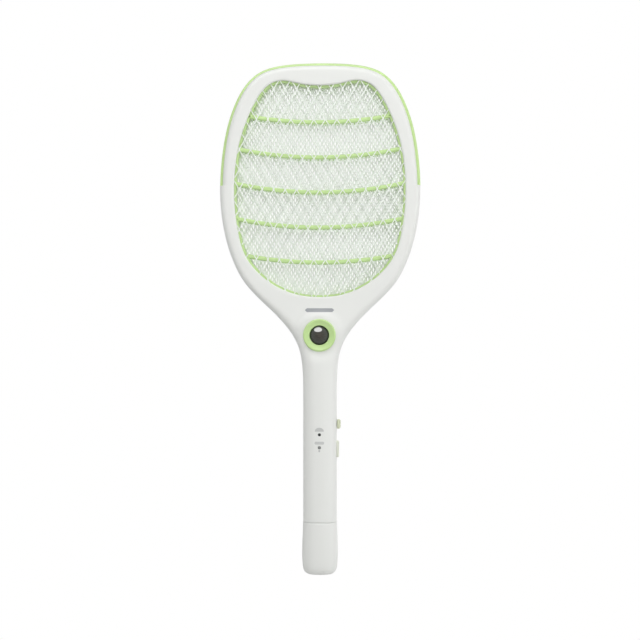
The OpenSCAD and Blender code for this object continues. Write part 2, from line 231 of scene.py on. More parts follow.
# The step at each end of the trim falls between two points of its own
for k in np.flatnonzero(np.diff(np.sign(casing_line[:, 1] - TRIM_END)))[::-1]:
    share = (TRIM_END - casing_line[k, 1]) / (casing_line[k + 1, 1] - casing_line[k, 1])
    step = casing_line[k] + share * (casing_line[k + 1] - casing_line[k])
    tiny = 0.04 * (casing_line[k + 1] - casing_line[k])
    casing_line = np.insert(casing_line, [k + 1, k + 1], [step - tiny, step + tiny], axis=0)
casing_in = inward(casing_line, closed=False)
opening_loop = both_sides(through(OPENING))
opening_line = softened(evenly(opening_loop, 361)[:-1], 3, closed=True)
opening_in = inward(opening_line, closed=True)


def ease(low, high, x):
    """Nought below low, one above high, and a smooth rise between."""
    t = np.clip((np.asarray(x, float) - low) / (high - low), 0, 1)
    return t * t * (3 - 2 * t)


def at_depth(flat, y):
    """Outline points set at a depth, or each at its own."""
    return np.column_stack([flat[:, 0], np.broadcast_to(y, len(flat)), flat[:, 1]])


def face_depth(x, z, lamp):
    """How far the casing's face stands from the middle plane, with or without the lamp's seat."""
    depth = GRIP_HALF_DEPTH + (HEAD_HALF - GRIP_HALF_DEPTH) * ease(208, 276, z)
    seat = 1 - ease(18.5, 27, np.hypot(x, np.asarray(z) - LAMP_Z))
    return depth + (LAMP_FACE - depth) * seat if lamp else depth


def within(points, loop):
    """Which points lie inside a closed loop."""
    x, z = points[:, 0][:, None], points[:, 1][:, None]
    a, b = loop, np.roll(loop, -1, 0)
    crosses = (a[:, 1] > z) != (b[:, 1] > z)
    rise = np.where(b[:, 1] == a[:, 1], 1e-9, b[:, 1] - a[:, 1])
    return (crosses & (x < (b[:, 0] - a[:, 0]) * (z - a[:, 1]) / rise + a[:, 0])).sum(1) % 2 == 1


def strips(rings, count, closed, start=0):
    """Quads between neighbouring rings of points."""
    last = count if closed else count - 1
    return [tuple(start + k for k in (r * count + i, r * count + (i + 1) % count,
                                      (r + 1) * count + (i + 1) % count, (r + 1) * count + i))
            for r in range(rings - 1) for i in range(last)]


def creased(mesh, degrees):
    """Smooth faces, with the edges that turn by more than the angle kept sharp."""
    b = bmesh.new()
    b.from_mesh(mesh)
    for f in b.faces:
        f.smooth = True
    for e in b.edges:
        e.smooth = len(e.link_faces) == 2 and e.calc_face_angle(0) < math.radians(degrees)
    b.to_mesh(mesh)
    b.free()


def piece_from(name, points, faces, degrees=35, merge=0.004):
    """An object from points in mm, with doubles merged and its faces turned outwards."""
    mesh = bpy.data.meshes.new(name)
    mesh.from_pydata([tuple(p) for p in np.asarray(points, float) * MM], [], faces)
    b = bmesh.new()
    b.from_mesh(mesh)
    bmesh.ops.remove_doubles(b, verts=b.verts, dist=merge * MM)
    bmesh.ops.recalc_face_normals(b, faces=b.faces)
    b.to_mesh(mesh)
    b.free()
    creased(mesh, degrees)
    return added(name, mesh)


def turned(name, profile, centre, axis="Y", steps=64, degrees=35):
    """A turned piece from (radius, height) pairs in mm, along -Y or Z from its centre."""
    rings = []
    for turn in np.radians(np.arange(0, 360, 360 / steps)):
        c, s = math.cos(turn), math.sin(turn)
        rings.append([(r * c, -h, r * s) if axis == "Y" else (r * c, r * s, h) for r, h in profile])
    points = np.array(rings).reshape(-1, 3) + centre
    n = len(profile)
    faces = [(k * n + i, k * n + i + 1, (k + 1) % steps * n + i + 1, (k + 1) % steps * n + i)
             for k in range(steps) for i in range(n - 1)]
    return piece_from(name, points, faces, degrees)


def block(name, low, high, rounding=0.0, segments=3, degrees=50):
    """A moulded block between two corners in mm, with its edges rounded."""
    b = bmesh.new()
    bmesh.ops.create_cube(b, size=1)
    low, high = np.array(low, float), np.array(high, float)
    for v in b.verts:
        v.co = Vector(((low + high) / 2 + np.array(v.co) * (high - low)) * MM)
    if rounding:
        bmesh.ops.bevel(b, geom=b.edges[:], offset=rounding * MM, segments=segments, profile=0.5,
                        affect="EDGES")
    mesh = bpy.data.meshes.new(name)
    b.to_mesh(mesh)
    b.free()
    creased(mesh, degrees)
    return added(name, mesh)


def joined(name, parts):
    """One object from several, which it uses up."""
    b = bmesh.new()
    for part in parts:
        b.from_mesh(part.data)
    mesh = bpy.data.meshes.new(name)
    b.to_mesh(mesh)
    b.free()
    for part in parts:
        bpy.data.meshes.remove(part.data)
    return added(name, mesh)


def settled(piece):
    """Turns a piece and its modifiers into one plain mesh."""
    plain = bpy.data.meshes.new_from_object(piece.evaluated_get(bpy.context.evaluated_depsgraph_get()))
    piece.modifiers.clear()
    old, piece.data = piece.data, plain
    bpy.data.meshes.remove(old)
    plain.name = piece.name
    return piece


def cut(piece, tool, operation="DIFFERENCE"):
    """Cuts a tool out of a piece, or joins it on, and uses it up."""
    work = piece.modifiers.new("cut", "BOOLEAN")
    work.operation = operation
    work.solver = "EXACT"
    work.object = tool
    bpy.context.view_layer.update()
    settled(piece)
    bpy.data.meshes.remove(tool.data)


def dress(piece, material, body, slot, *nodes):
    """Gives a piece its material, its body and the CAD nodes it stands for; its slot is not used."""
    piece.data.materials.clear()
    piece.data.materials.append(material)
    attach(piece, body)
    if nodes:
        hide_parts(*nodes)


def sums_in(tree):
    """The maker of a tree's Math nodes: it takes numbers and sockets and gives the result's socket."""
    def sums(operation, *terms):
        node = tree.nodes.new("ShaderNodeMath")
        node.operation = operation
        for k, term in enumerate(terms):
            if isinstance(term, (int, float)):
                node.inputs[k].default_value = term
            else:
                tree.links.new(term, node.inputs[k])
        return node.outputs[0]
    return sums


def mould_finish():
    """Moulded plastic: slow mottle in the tint, fine grain from the tool, and rubbed patches."""
    tree = bpy.data.node_groups.new("mould_finish", "ShaderNodeTree")
    sockets = (("Vector", "INPUT", "Vector"), ("Color", "INPUT", "Color"), ("Mottle", "INPUT", "Float"),
               ("Grain Scale", "INPUT", "Float"), ("Grain Depth", "INPUT", "Float"),
               ("Roughness", "INPUT", "Float"), ("Rub", "INPUT", "Float"), ("Color", "OUTPUT", "Color"),
               ("Roughness", "OUTPUT", "Float"), ("Normal", "OUTPUT", "Vector"))
    for label, way, kind in sockets:
        tree.interface.new_socket(name=label, in_out=way, socket_type="NodeSocket" + kind)
    new, link = tree.nodes.new, tree.links.new
    enter, leave = new("NodeGroupInput"), new("NodeGroupOutput")

    def noise(scale, detail, stretch=None):
        texture = new("ShaderNodeTexNoise")
        texture.inputs["Scale"].default_value = scale
        texture.inputs["Detail"].default_value = detail
        if stretch:
            mapping = new("ShaderNodeMapping")
            mapping.inputs["Scale"].default_value = stretch
            link(enter.outputs["Vector"], mapping.inputs["Vector"])
            link(mapping.outputs[0], texture.inputs["Vector"])
        else:
            link(enter.outputs["Vector"], texture.inputs["Vector"])
        return texture

    sums = sums_in(tree)
    cloud = sums("SUBTRACT", noise(26.0, 3.0).outputs["Fac"], 0.5)
    tint = new("ShaderNodeVectorMath")
    tint.operation = "SCALE"
    link(enter.outputs["Color"], tint.inputs[0])
    link(sums("MULTIPLY_ADD", cloud, enter.outputs["Mottle"], 1.0), tint.inputs["Scale"])
    link(tint.outputs[0], leave.inputs["Color"])
    hairlines = noise(900.0, 2.0, (1.0, 1.0, 0.05))
    scuffs = sums("MULTIPLY", sums("GREATER_THAN", hairlines.outputs["Fac"], 0.64), enter.outputs["Rub"])
    blotches = sums("SUBTRACT", noise(55.0, 4.0).outputs["Fac"], 0.5)
    patches = sums("MULTIPLY", blotches, enter.outputs["Rub"])
    rough = sums("ADD", enter.outputs["Roughness"], sums("ADD", scuffs, patches))
    link(sums("MULTIPLY_ADD", cloud, 0.1, rough), leave.inputs["Roughness"])
    grain = noise(1.0, 2.0)
    link(enter.outputs["Grain Scale"], grain.inputs["Scale"])
    bump = new("ShaderNodeBump")
    bump.inputs["Distance"].default_value = 0.0002
    link(grain.outputs["Fac"], bump.inputs["Height"])
    link(enter.outputs["Grain Depth"], bump.inputs["Strength"])
    link(bump.outputs[0], leave.inputs["Normal"])
    return tree


MOULD_FINISH = mould_finish()


def moulded(name, color, roughness=0.35, mottle=0.03, grain=0.06, scale=1500.0, rub=0.12, ior=1.5,
            coat=0.0, metallic=0.0):
    """A material for a moulded, drawn or plated part, with its own share of the shared finish."""
    material = bpy.data.materials.new(name)
    material.use_nodes = True
    nodes, links = material.node_tree.nodes, material.node_tree.links
    shader = nodes["Principled BSDF"]
    place = nodes.new("ShaderNodeTexCoord")
    finish = nodes.new("ShaderNodeGroup")
    finish.node_tree = MOULD_FINISH
    values = {"Color": (*color, 1), "Mottle": mottle, "Grain Scale": scale, "Grain Depth": grain,
              "Roughness": roughness, "Rub": rub}
    for label, value in values.items():
        finish.inputs[label].default_value = value
    links.new(place.outputs["Object"], finish.inputs["Vector"])
    links.new(finish.outputs["Color"], shader.inputs["Base Color"])
    links.new(finish.outputs["Roughness"], shader.inputs["Roughness"])
    links.new(finish.outputs["Normal"], shader.inputs["Normal"])
    shader.inputs["IOR"].default_value = ior
    shader.inputs["Metallic"].default_value = metallic
    shader.inputs["Coat Weight"].default_value = coat
    shader.inputs["Coat Roughness"].default_value = 0.05
    return material


white_plastic = moulded("white_plastic", (0.780, 0.790, 0.765), roughness=0.33, mottle=0.02)


def casing_half(name, side, lamp):
    """One shell's outer skin: rounded sides, the face, and the lip that turns into the opening."""
    upper = casing_line[:, 1] > TRIM_END
    start = np.where(upper, TRIM_REACH, 0.0)
    low = np.where(upper, TRIM_HALF, 0.08)
    width = GRIP_ROUND + (HEAD_ROUND - GRIP_ROUND) * ease(214, 282, casing_line[:, 1])
    width -= np.where(upper, 1.0, 0)
    rings = []
    for angle in np.radians((0, 3, 7, 12, 18, 25, 33, 42, 51, 60, 69, 77, 84, 90)):
        over = 1 - max(math.cos(angle), 0) ** (2 / SQUARENESS)
        up = math.sin(angle) ** (2 / SQUARENESS)
        flat = casing_line + casing_in * (start + width * over)[:, None]
        high = low + (face_depth(flat[:, 0], flat[:, 1], lamp) - low) * up
        rings.append(at_depth(flat, side * high))
    points = list(rings)
    faces = strips(len(rings), len(casing_line), closed=False)
    lips = []
    for angle in np.radians((0, 22, 45, 68, 90)):
        flat = opening_line - opening_in * LIP_ROUND * (1 - math.sin(angle))
        drop = LIP_ROUND * (1 - math.cos(angle))
        lips.append(at_depth(flat, side * (HEAD_HALF - drop)))
    faces += strips(len(lips), len(opening_line), closed=True, start=sum(map(len, points)))
    points += lips
    # The face between the sides and the lip is a mesh of triangles, finer round the lamp
    edge, hole = rings[-1][:, (0, 2)], lips[0][:, (0, 2)]
    loops = [edge, hole]
    inner = np.array([(x, z) for x in np.arange(-97, 98, 3.0) for z in np.arange(196, 507, 3.0)])
    if lamp:
        turns = np.radians(np.arange(0, 360, 7.5))
        circles = [np.column_stack([r * np.cos(turns), LAMP_Z + r * np.sin(turns)])
                   for r in (LAMP_BORE, 18, 20, 22, 24, 26, 28)]
        loops.append(circles[0])
        inner = np.vstack([inner[np.hypot(inner[:, 0], inner[:, 1] - LAMP_Z) > 29.5], *circles[1:]])
    inner = inner[within(inner, edge) & ~within(inner, hole)]
    border = np.vstack([edge, hole])
    inner = inner[[np.min(np.hypot(*(border - p).T)) > 1.5 for p in inner]]
    edges, first = [], 0
    for loop in loops:
        edges += [(first + i, first + (i + 1) % len(loop)) for i in range(len(loop))]
        first += len(loop)
    found = delaunay_2d_cdt([Vector(p) for p in np.vstack([*loops, inner])], edges, [], 0, 1e-6)
    spots = np.array([tuple(v) for v in found[0]])
    triangles = np.array([tuple(f) for f in found[2]])
    centres = spots[triangles].mean(1)
    good = within(centres, edge) & ~within(centres, hole)
    if lamp:
        good &= np.hypot(centres[:, 0], centres[:, 1] - LAMP_Z) > LAMP_BORE - 0.05
    base = sum(map(len, points))
    points.append(at_depth(spots, side * face_depth(spots[:, 0], spots[:, 1], lamp)))
    faces += [tuple(int(base + k) for k in t) for t in triangles[good]]
    skin = piece_from(name, np.vstack(points), faces)
    if sum(p.normal.y * p.area for p in skin.data.polygons) * side < 0:
        skin.data.flip_normals()
    wall = skin.modifiers.new("wall", "SOLIDIFY")
    wall.thickness = WALL * MM
    wall.offset = -1
    return settled(skin)


def control_cuts():
    """The slide switch's slot and the push button's window, through the right-hand side."""
    x0, x1 = GRIP_HALF_WIDTH - 4, GRIP_HALF_WIDTH + 4
    return joined("control_cuts", [
        block("slot", (x0, -2, SLIDE_Z - 2.4), (x1, 2, SLIDE_Z + 2.4 + SLIDE_TRAVEL), 0.9),
        block("window", (x0, -4.5, BUTTON_Z - 8.6), (x1, 4.5, BUTTON_Z + 8.6), 1.5)])


def screw_bosses():
    """Solid seats behind the rear wall, one to a screw."""
    return joined("screw_bosses", [
        turned("boss", [(0, -s - 1.2), (4.2, -s - 1.2), (4.2, 3 - s), (0, 3 - s)], (x, 0, z), steps=32)
        for x, z, s in SCREWS])


def screw_wells():
    """Wells for the screws' heads, flared where they meet the outer face."""
    wells = []
    for x, z, seat in SCREWS:
        outer = HEAD_HALF if z > 230 else 14.3 if z < 80 else GRIP_HALF_DEPTH
        profile = [(0, -seat), (2.8, -seat), (2.8, 0.35 - outer), (3.3, -outer - 0.1),
                   (3.9, -outer - 3), (0, -outer - 3)]
        wells.append(turned("well", profile, (x, 0, z), steps=32))
    return joined("screw_wells", wells)


front_casing = casing_half("front_casing", -1, lamp=True)
cut(front_casing, control_cuts())
cut(front_casing, joined("light_holes", [
    turned("hole", [(0, 6), (1.6, 6), (1.6, GRIP_HALF_DEPTH - 0.25), (2.1, GRIP_HALF_DEPTH + 0.25),
                    (2.1, 19), (0, 19)], (0, 0, z), steps=32) for z in LIGHT_HEIGHTS]))
rear_casing = casing_half("rear_casing", 1, lamp=False)
cut(rear_casing, control_cuts())
cut(rear_casing, screw_bosses(), "UNION")
cut(rear_casing, screw_wells())
for shell, node in ((front_casing, "front_shell"), (rear_casing, "rear_shell")):
    creased(shell.data, 32)
    dress(shell, white_plastic, "racket", "white_plastic", node)

# --- Edge trim ------------------------------------------------------------------------------
# Lime band moulded on its own and clamped between the shells round the upper edge of the head.
# Its outer face stands flush with the outline, and it ends square at half height on each side.
lime_plastic = moulded("lime_plastic", (0.535, 0.735, 0.320), roughness=0.30, mottle=0.05)
TRIM_PROFILE = ((4.6, 4.25), (2.2, 4.25), (1.3, 4.1), (0.6, 3.6), (0.15, 2.8), (0, 1.8))
on_trim = np.flatnonzero(casing_line[:, 1] > TRIM_END)
trim_line, trim_in = casing_line[on_trim], casing_in[on_trim]
rings = [at_depth(trim_line + trim_in * inset, y)
         for inset, y in [*[(t, -y) for t, y in TRIM_PROFILE], *TRIM_PROFILE[::-1]]]
count = len(trim_line)
faces = strips(len(rings), count, closed=False)
last = len(rings) - 1
faces += [(last * count + i, last * count + i + 1, i + 1, i) for i in range(count - 1)]
faces += [tuple(r * count + end for r in range(len(rings))) for end in (0, count - 1)]
edge_trim = piece_from("edge_band", np.vstack(rings), faces, degrees=40)
dress(edge_trim, lime_plastic, "racket", "lime_plastic", "edge_trim")

# --- Grid frames ----------------------------------------------------------------------------
# Lime rings with five smile-curved ribs, one on each side, that hold the guard nets up against
# the casing's lip. Each ring is a deep upright wall, seen through the net over it.
FRAME_NEAR, FRAME_FAR = 1.5, 9.2
RING_PROFILE = ((-3.5, FRAME_NEAR), (-3.5, FRAME_FAR), (1.5, FRAME_FAR), (1.8, 9.1), (1.95, 8.8),
                (2, 8.4), (2, FRAME_NEAR))
RIB_COUNT, RIB_Z, RIB_PITCH, RIB_RADIUS = 5, 312.0, 35.0, 400.0
RIB_WIDTH, RIB_DEPTH = 4.2, 3.4


def geometry_tree(name, inputs):
    """A Geometry Nodes tree with named inputs; gives the tree, its nodes' maker and its ends."""
    tree = bpy.data.node_groups.new(name, "GeometryNodeTree")
    tree.interface.new_socket(name="Geometry", in_out="INPUT", socket_type="NodeSocketGeometry")
    for label, kind in inputs:
        tree.interface.new_socket(name=label, in_out="INPUT", socket_type="NodeSocket" + kind)
    tree.interface.new_socket(name="Geometry", in_out="OUTPUT", socket_type="NodeSocketGeometry")
    new = tree.nodes.new
    return tree, new, tree.links.new, new("NodeGroupInput"), new("NodeGroupOutput")


def end_tree(tree, made, enter, leave, weld=0.0):
    """Ends a tree: instances made real, welded if asked, and given the piece's material."""
    real = tree.nodes.new("GeometryNodeRealizeInstances")
    coat = tree.nodes.new("GeometryNodeSetMaterial")
    tree.links.new(made, real.inputs[0])
    whole = real
    if weld:
        whole = tree.nodes.new("GeometryNodeMergeByDistance")
        whole.inputs["Distance"].default_value = weld
        tree.links.new(real.outputs[0], whole.inputs[0])
    tree.links.new(whole.outputs[0], coat.inputs["Geometry"])
    tree.links.new(enter.outputs["Material"], coat.inputs["Material"])
    tree.links.new(coat.outputs[0], leave.inputs[0])
    return tree


def grown(piece, tree, values):
    """Runs a Geometry Nodes tree on a piece with these inputs and keeps the plain mesh."""
    work = piece.modifiers.new("grow", "NODES")
    work.node_group = tree
    for item in tree.interface.items_tree:
        if item.in_out == "INPUT" and item.name in values:
            work[item.identifier] = values[item.name]
    piece.update_tag()
    bpy.context.view_layer.update()
    return settled(piece)


def rib_tree():
    """Sweeps a rounded bar along each line of the mesh."""
    tree, new, link, enter, leave = geometry_tree("curved_ribs", (
        ("Width", "Float"), ("Depth", "Float"), ("Rounding", "Float"), ("Material", "Material")))
    lines = new("GeometryNodeMeshToCurve")
    upright = new("GeometryNodeSetCurveNormal")
    upright.mode = "Z_UP"
    section = new("GeometryNodeCurvePrimitiveQuadrilateral")
    rounded = new("GeometryNodeFilletCurve")
    swept = new("GeometryNodeCurveToMesh")
    swept.inputs["Fill Caps"].default_value = True
    link(enter.outputs["Geometry"], lines.inputs["Mesh"])
    link(lines.outputs["Curve"], upright.inputs["Curve"])
    link(enter.outputs["Depth"], section.inputs["Width"])
    link(enter.outputs["Width"], section.inputs["Height"])
    link(section.outputs["Curve"], rounded.inputs["Curve"])
    link(enter.outputs["Rounding"], rounded.inputs["Radius"])
    rounded.mode = "POLY"
    rounded.inputs["Count"].default_value = 4
    link(upright.outputs["Curve"], swept.inputs["Curve"])
    link(rounded.outputs["Curve"], swept.inputs["Profile Curve"])
    return end_tree(tree, swept.outputs["Mesh"], enter, leave)


RIBS = rib_tree()
rib_ends = opening_line + opening_in * 0.5
for name, side, node in (("front_grid", -1, "front_grid_frame"), ("rear_grid", 1, "rear_grid_frame")):
    rings = [at_depth(opening_line + opening_in * inset, side * y)
             for inset, y in [*RING_PROFILE, RING_PROFILE[0]]]
    faces = strips(len(rings), len(opening_line), closed=True)
    ring = piece_from(name + "_ring", np.vstack(rings), faces, degrees=28)
    lines = bpy.data.meshes.new(name + "_ribs")
    verts, edges = [], []
    for k in range(RIB_COUNT):
        across = np.arange(-90, 90.1, 1.5)
        pivot_z = RIB_Z + RIB_PITCH * k + RIB_RADIUS
        arc = np.column_stack([across, pivot_z - np.sqrt(RIB_RADIUS**2 - across**2)])
        arc = arc[within(arc, rib_ends)]
        edges += [(len(verts) + i, len(verts) + i + 1) for i in range(len(arc) - 1)]
        verts += [(x * MM, side * (FRAME_FAR - RIB_DEPTH / 2) * MM, z * MM) for x, z in arc]
    lines.from_pydata(verts, edges, [])
    ribs = added(name + "_ribs", lines)
    grown(ribs, RIBS, {"Width": RIB_WIDTH * MM, "Depth": RIB_DEPTH * MM, "Rounding": 1.4 * MM,
                       "Material": lime_plastic})
    grid = joined(name, [ring, ribs])
    creased(grid.data, 30)
    dress(grid, lime_plastic, "racket", "lime_plastic", node)

# --- Nets -----------------------------------------------------------------------------------
# Three sheets of expanded aluminium: a thin open guard net over the ribs on each side, wide
# enough for an insect, and in the middle the fine live net that it cannot pass.
GUARD_Y, LIVE_Y = 9.6, 0.0
NET_MIDDLE = 385.0


def knot(name, across, height, width, thick, lean):
    """The crossing of two strands, out to the middle of each: )( in shape, with tilted arms."""
    path = ((-across / 4, -height / 4, lean), (-0.44 * width, -0.05 * height, 0.0),
            (-0.44 * width, 0.05 * height, 0.0), (-across / 4, height / 4, -lean))
    points, faces = [], []
    for mirror in (1, -1):
        start = len(points)
        for k, (x, z, tilt) in enumerate(path):
            px, pz = path[max(k - 1, 0)][:2]
            nx, nz = path[min(k + 1, len(path) - 1)][:2]
            along = np.array((nx - px, nz - pz)) / math.hypot(nx - px, nz - pz)
            for u, v in ((-1, -1), (1, -1), (1, 1), (-1, 1)):
                offset = np.array((along[1], -along[0])) * u * width / 2
                points.append((mirror * (x + offset[0]), v * thick / 2 + u * tilt, z + offset[1]))
        for r in range(len(path) - 1):
            for i in range(4):
                quad = [start + r * 4 + i, start + r * 4 + (i + 1) % 4,
                        start + (r + 1) * 4 + (i + 1) % 4, start + (r + 1) * 4 + i]
                faces.append(quad if mirror == 1 else quad[::-1])
    return piece_from(name, points, faces, degrees=50)


def net_tree():
    """Knots at every crossing of a staggered lattice that falls on the sheet's outline."""
    tree, new, link, enter, leave = geometry_tree("expanded_net", (
        ("Knot", "Object"), ("Diamond Width", "Float"), ("Diamond Height", "Float"), ("Shift X", "Float"),
        ("Shift Z", "Float"), ("Place Y", "Float"), ("Material", "Material")))

    sums = sums_in(tree)
    columns, rows = 49, 73
    lattice = new("GeometryNodeMeshGrid")
    lattice.inputs["Vertices X"].default_value = columns
    lattice.inputs["Vertices Y"].default_value = rows
    index = new("GeometryNodeInputIndex").outputs[0]
    row = sums("MODULO", index, rows)
    column = sums("FLOOR", sums("DIVIDE", sums("ADD", index, 0.5), rows))
    odd = sums("MULTIPLY", sums("MODULO", row, 2), 0.5)
    across = sums("ADD", sums("SUBTRACT", column, columns // 2), odd)
    upward = sums("MULTIPLY", sums("SUBTRACT", row, rows // 2), 0.5)
    x = sums("MULTIPLY", across, enter.outputs["Diamond Width"])
    z = sums("MULTIPLY", upward, enter.outputs["Diamond Height"])
    spot = new("ShaderNodeCombineXYZ")
    link(sums("ADD", x, enter.outputs["Shift X"]), spot.inputs["X"])
    link(enter.outputs["Place Y"], spot.inputs["Y"])
    link(sums("ADD", z, enter.outputs["Shift Z"]), spot.inputs["Z"])
    placed = new("GeometryNodeSetPosition")
    link(lattice.outputs["Mesh"], placed.inputs["Geometry"])
    link(spot.outputs[0], placed.inputs["Position"])
    on_sheet = new("GeometryNodeRaycast")
    link(enter.outputs["Geometry"], on_sheet.inputs["Target Geometry"])
    start = new("ShaderNodeVectorMath")
    start.operation = "ADD"
    start.inputs[1].default_value = (0, -0.1, 0)
    link(new("GeometryNodeInputPosition").outputs[0], start.inputs[0])
    link(start.outputs[0], on_sheet.inputs["Source Position"])
    on_sheet.inputs["Ray Direction"].default_value = (0, 1, 0)
    on_sheet.inputs["Ray Length"].default_value = 1.0
    knot_in = new("GeometryNodeObjectInfo")
    link(enter.outputs["Knot"], knot_in.inputs["Object"])
    many = new("GeometryNodeInstanceOnPoints")
    link(placed.outputs[0], many.inputs["Points"])
    link(on_sheet.outputs["Is Hit"], many.inputs["Selection"])
    link(knot_in.outputs["Geometry"], many.inputs["Instance"])
    return end_tree(tree, many.outputs[0], enter, leave, weld=0.01 * MM)


# The slight green in both nets' colour is a painted reflection of the lime ring and ribs
guard_mesh = moulded("guard_mesh", (0.86, 0.905, 0.85), roughness=0.45, mottle=0.08, grain=0.25,
                     scale=900)
live_mesh = moulded("live_mesh", (0.88, 0.92, 0.87), roughness=0.42, mottle=0.10, grain=0.2, scale=700,
                    metallic=0.2)
NET = net_tree()
for name, node, place, grow, across, height, shift_x, strand, material in (
        ("front_guard_mesh", "front_guard_net", -GUARD_Y, 3.0, 11.5, 20.0, 0.0, 0.9, guard_mesh),
        ("live_mesh_sheet", "high_voltage_net", LIVE_Y, 2.2, 3.83, 6.67, 1.9, 1.3, live_mesh),
        ("rear_guard_mesh", "rear_guard_net", GUARD_Y, 3.0, 11.5, 18.8, -3.8, 0.9, guard_mesh)):
    cell = knot(name + "_knot", across, height, strand, 0.5, 0.14)
    outline = opening_line - opening_in * grow
    sheet_mesh = bpy.data.meshes.new(name)
    sheet_mesh.from_pydata([(x * MM, 0, z * MM) for x, z in outline], [], [tuple(range(len(outline)))])
    net = added(name, sheet_mesh)
    grown(net, NET, {"Knot": cell, "Diamond Width": across * MM, "Diamond Height": height * MM,
                     "Shift X": shift_x * MM, "Shift Z": NET_MIDDLE * MM, "Place Y": place * MM,
                     "Material": material})
    bpy.data.meshes.remove(cell.data)
    b = bmesh.new()
    b.from_mesh(net.data)
    bmesh.ops.holes_fill(b, edges=[e for e in b.edges if e.is_boundary], sides=4)
    b.to_mesh(net.data)
    b.free()
    creased(net.data, 50)
    dress(net, material, "racket", "guard_mesh" if place else "live_mesh", node)

# --- Lamp -----------------------------------------------------------------------------------
# A dished lime bezel pressed into the front shell, round a polished dark dome that hides a
# small torch: reflector cup, LED and board stay inside the casing.
LENS_RADIUS, BEZEL_RADIUS = 9.6, 16.25
bezel_profile = [(LENS_RADIUS + 0.15, LAMP_FACE - 3), (12, LAMP_FACE - 3), (12, LAMP_FACE),
                 (BEZEL_RADIUS, LAMP_FACE)]
bezel_profile += [(BEZEL_RADIUS - 1.25 + 1.25 * math.cos(a), LAMP_FACE + 0.75 + 1.3 * math.sin(a))
                  for a in np.radians((0, 20, 40, 60, 80, 100, 120))]
bezel_profile += [(13.7, LAMP_FACE + 1.6), (12.4, LAMP_FACE + 1.15), (11.0, LAMP_FACE + 0.85),
                  (LENS_RADIUS + 0.5, LAMP_FACE + 0.8), (LENS_RADIUS + 0.15, LAMP_FACE + 0.5),
                  (LENS_RADIUS + 0.15, LAMP_FACE - 3)]
bezel = turned("lamp_ring", bezel_profile, (0, 0, LAMP_Z), steps=96, degrees=28)
dress(bezel, lime_plastic, "racket", "lime_plastic", "lamp_bezel")

DOME_RISE = 4.0
dome_radius = (LENS_RADIUS**2 + DOME_RISE**2) / (2 * DOME_RISE)
lens_profile = [(0, LAMP_FACE - 3), (LENS_RADIUS, LAMP_FACE - 3), (LENS_RADIUS, LAMP_FACE)]
for a in np.linspace(math.asin(LENS_RADIUS / dome_radius), 0, 14)[1:]:
    below_crown = dome_radius * (1 - math.cos(a))
    lens_profile.append((dome_radius * math.sin(a), LAMP_FACE + DOME_RISE - below_crown))
dark_lens = moulded("dark_lens", (0.01, 0.01, 0.01), roughness=0.05, mottle=0.5, grain=0.0, rub=0.01,
                    ior=1.2, coat=1.0)
dark_lens.node_tree.nodes["Principled BSDF"].inputs["Coat IOR"].default_value = 2.9
# Painted glint and painted shade: a radial gradient tints the middle of the dome brownish as a painted
# glint, and darkens it towards the rim to a near-black green, as painted shade with a painted reflection
# of the lime bezel.
lens_nodes, lens_links = dark_lens.node_tree.nodes, dark_lens.node_tree.links
lens_place = lens_nodes.new("ShaderNodeMapping")
lens_place.inputs["Location"].default_value = (0, 0, -LAMP_Z / LENS_RADIUS)
lens_place.inputs["Scale"].default_value = (1 / LENS_RADIUS / MM, 0, 1 / LENS_RADIUS / MM)
lens_links.new(lens_nodes.new("ShaderNodeTexCoord").outputs["Object"], lens_place.inputs["Vector"])
painted_glint_and_shade_mask = lens_nodes.new("ShaderNodeTexGradient")
painted_glint_and_shade_mask.gradient_type = "SPHERICAL"
lens_links.new(lens_place.outputs[0], painted_glint_and_shade_mask.inputs["Vector"])
painted_glint_and_rim_shade = lens_nodes.new("ShaderNodeMix")
painted_glint_and_rim_shade.data_type = "RGBA"
painted_rim_shade_tint, painted_glint_tint = [socket for socket in painted_glint_and_rim_shade.inputs if socket.type == "RGBA"]
# Colours of the painted rim shade (dark, with the bezel's green painted in) and of the painted brownish
# glint
painted_rim_shade_tint.default_value = (0.004, 0.014, 0.002, 1)
painted_glint_tint.default_value = (0.090, 0.080, 0.068, 1)
lens_links.new(painted_glint_and_shade_mask.outputs["Fac"], painted_glint_and_rim_shade.inputs[0])
# The coat fades out towards the rim as painted shade
painted_rim_shade_coat = lens_nodes.new("ShaderNodeMapRange")
painted_rim_shade_coat.inputs["From Min"].default_value = 0.05
painted_rim_shade_coat.inputs["From Max"].default_value = 0.26
lens_links.new(painted_glint_and_shade_mask.outputs["Fac"], painted_rim_shade_coat.inputs["Value"])
lens_links.new(painted_rim_shade_coat.outputs[0], lens_nodes["Principled BSDF"].inputs["Coat Weight"])
lens_finish = [n for n in lens_nodes if n.type == "GROUP"][0]
lens_links.new([o for o in painted_glint_and_rim_shade.outputs if o.type == "RGBA"][0], lens_finish.inputs["Color"])
lens = turned("lamp_dome", lens_profile, (0, 0, LAMP_Z), steps=96, degrees=50)
dress(lens, dark_lens, "racket", "dark_lens", "lamp_lens")

# --- Printed marks --------------------------------------------------------------------------
# Pad-printed grey ink on the front shell: a plain bar over the lamp, a half-disc over the upper
# light, and a bar and a short tick at the lower one. None of them is a letter.


def grip_depth(x, z):
    """How far the front shell's face stands out at a point of the grip."""
    past_flat = max(abs(x) - (GRIP_HALF_WIDTH - GRIP_ROUND), 0) / GRIP_ROUND
    return face_depth(x, z, True) * (1 - past_flat**SQUARENESS) ** (1 / SQUARENESS)


